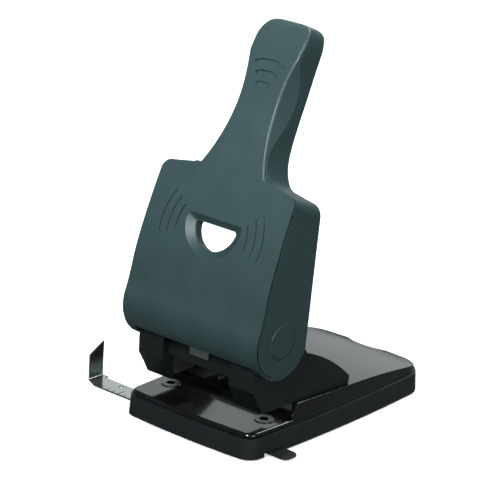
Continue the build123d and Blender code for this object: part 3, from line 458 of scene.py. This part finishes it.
class PUNCH_OT_guide(bpy.types.Operator):
    """Sliding paper guide and its lock lever"""

    bl_idname = "punch.guide"
    bl_label = "Paper guide"

    def execute(self, context):
        edges = context.scene.punch_edges
        edged("paper_guide", "guide_strip", edges.pressed * 0.7)
        edged("guide_lock_lever", "lock_lever", edges.pressed)
        return {"FINISHED"}


class PUNCH_OT_drawer(bpy.types.Operator):
    """Chip drawer and its feet"""

    bl_idname = "punch.drawer"
    bl_label = "Chip drawer"

    def execute(self, context):
        edged("chip_drawer", "drawer_moulding", context.scene.punch_edges.moulded)
        finish_node("drawer_feet")
        return {"FINISHED"}


# ---------------------------------------------------------------- studio
def panel_light(name, place, aim, size, power, spread=180):
    """A soft box aimed at a point; a grid over it narrows its spread, in degrees."""
    data = bpy.data.lights.new(name, "AREA")
    data.shape = "RECTANGLE"
    data.size, data.size_y = size
    data.energy = power
    data.spread = math.radians(spread)
    data.color = LIGHT_TINT
    lamp = bpy.data.objects.new(name, data)
    bpy.context.scene.collection.objects.link(lamp)
    lamp.location = place
    lamp.rotation_euler = (Vector(place) - Vector(aim)).to_track_quat("Z", "Y").to_euler()


class PUNCH_OT_stage(bpy.types.Operator):
    """Camera, pale floor and soft studio light"""

    bl_idname = "punch.stage"
    bl_label = "Studio"

    def execute(self, context):
        scene, stage = context.scene, context.scene.punch_stage
        scene.view_settings.view_transform = "Standard"
        # The punches' midpoint, which the camera is measured from.
        dies = [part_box("die_bush_left"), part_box("die_bush_right")]
        middle = (dies[0][0] + dies[1][1]) / 2
        datum = Vector((middle.x, middle.y, DATUM_HEIGHT))
        a, e, r = stage.azimuth, stage.elevation, stage.roll
        back = Vector((math.sin(a) * math.cos(e), -math.cos(a) * math.cos(e), math.sin(e)))
        right = Vector((math.cos(a), math.sin(a), 0))
        up = back.cross(right)
        camera = bpy.data.objects.new("camera", bpy.data.cameras.new("camera"))
        scene.collection.objects.link(camera)
        camera.data.lens = stage.lens
        camera.data.sensor_width = 36.0
        camera.data.clip_end = 20.0
        turned = Matrix((right * math.cos(r) + up * math.sin(r),
                         up * math.cos(r) - right * math.sin(r), back))
        place = datum + back * stage.distance + right * CAMERA_RIGHT + up * CAMERA_UP
        camera.matrix_world = Matrix.Translation(place) @ turned.transposed().to_4x4()
        scene.camera = camera
        form = bmesh.new()
        bmesh.ops.create_grid(form, x_segments=1, y_segments=1, size=3.0)
        mesh = bpy.data.meshes.new("floor")
        form.to_mesh(mesh)
        form.free()
        floor = bpy.data.objects.new("floor", mesh)
        scene.collection.objects.link(floor)
        material, tree, surface = new_material("pale_paper_sweep", "#ffffff", Roughness=0.9)
        surface.inputs["Specular IOR Level"].default_value = 0.0
        # White to the camera with its shadow kept, but a dim grey to the punch, like a table out of shot.
        path = add(tree, "ShaderNodeLightPath")
        shade = add(tree, "ShaderNodeMix", {0: path.outputs["Is Camera Ray"], "A": linear(stage.bounce),
                                            "B": linear("#ffffff")}, data_type="RGBA")
        tree.links.new(shade.outputs[2], surface.inputs["Base Color"])
        tree.links.new(path.outputs["Is Camera Ray"], surface.inputs["Emission Strength"])
        surface.inputs["Emission Color"].default_value = (stage.lift, stage.lift, stage.lift, 1.0)
        mesh.materials.append(material)
        world = bpy.data.worlds.new("studio")
        scene.world = world
        world.use_nodes = True
        sky = world.node_tree
        sky.nodes.clear()
        path = add(sky, "ShaderNodeLightPath")
        room = add(sky, "ShaderNodeBackground", {"Color": (1, 1, 1, 1), "Strength": stage.world_level})
        white = add(sky, "ShaderNodeBackground", {"Color": (1, 1, 1, 1), "Strength": 1.0})
        mix = add(sky, "ShaderNodeMixShader",
                  {0: path.outputs["Is Camera Ray"], 1: room.outputs[0], 2: white.outputs[0]})
        add(sky, "ShaderNodeOutputWorld", {"Surface": mix.outputs[0]})
        aim = (datum.x, datum.y, 0.1)
        handle = (datum.x, datum.y, 0.29)
        panel_light("key_box", (0.3, -0.95, 0.9), handle, (0.4, 0.4), stage.key_power, 38)
        panel_light("top_panel", (-0.2, 0.9, 1.5), aim, (1.2, 0.9), stage.top_power)
        panel_light("side_card", (1.5, -0.4, 0.7), aim, (0.8, 0.8), stage.side_power)
        panel_light("back_card", (-1.05, 1.25, 0.6), aim, (1.8, 0.8), stage.back_power)
        return {"FINISHED"}


class PUNCH_PT_panel(bpy.types.Panel):
    """Sizes, finishes and steps of the punch"""

    bl_idname = "PUNCH_PT_panel"
    bl_label = "Punch"
    bl_space_type = "VIEW_3D"
    bl_region_type = "UI"
    bl_category = "Punch"

    def draw(self, context):
        for group in (context.scene.punch_finish, context.scene.punch_edges, context.scene.punch_stage):
            box = self.layout.box()
            for key in group.__annotations__:
                box.prop(group, key)
        for step in STEPS:
            self.layout.operator(step.bl_idname)


GROUPS = {"punch_finish": PunchFinish, "punch_edges": PunchEdges, "punch_stage": PunchStage}
STEPS = (
    PUNCH_OT_stage, PUNCH_OT_base, PUNCH_OT_frame, PUNCH_OT_lever, PUNCH_OT_punches,
    PUNCH_OT_guide, PUNCH_OT_drawer,
)
CLASSES = (*GROUPS.values(), *STEPS, PUNCH_PT_panel)


def register():
    for cls in CLASSES:
        bpy.utils.register_class(cls)
    for key, group in GROUPS.items():
        setattr(bpy.types.Scene, key, bpy.props.PointerProperty(type=group))


def unregister():
    for key in GROUPS:
        delattr(bpy.types.Scene, key)
    for cls in reversed(CLASSES):
        bpy.utils.unregister_class(cls)


def main():
    """Builds the whole scene."""
    register()
    for step in STEPS:
        group, name = step.bl_idname.split(".")
        getattr(getattr(bpy.ops, group), name)()


if __name__ == "__main__":
    main()
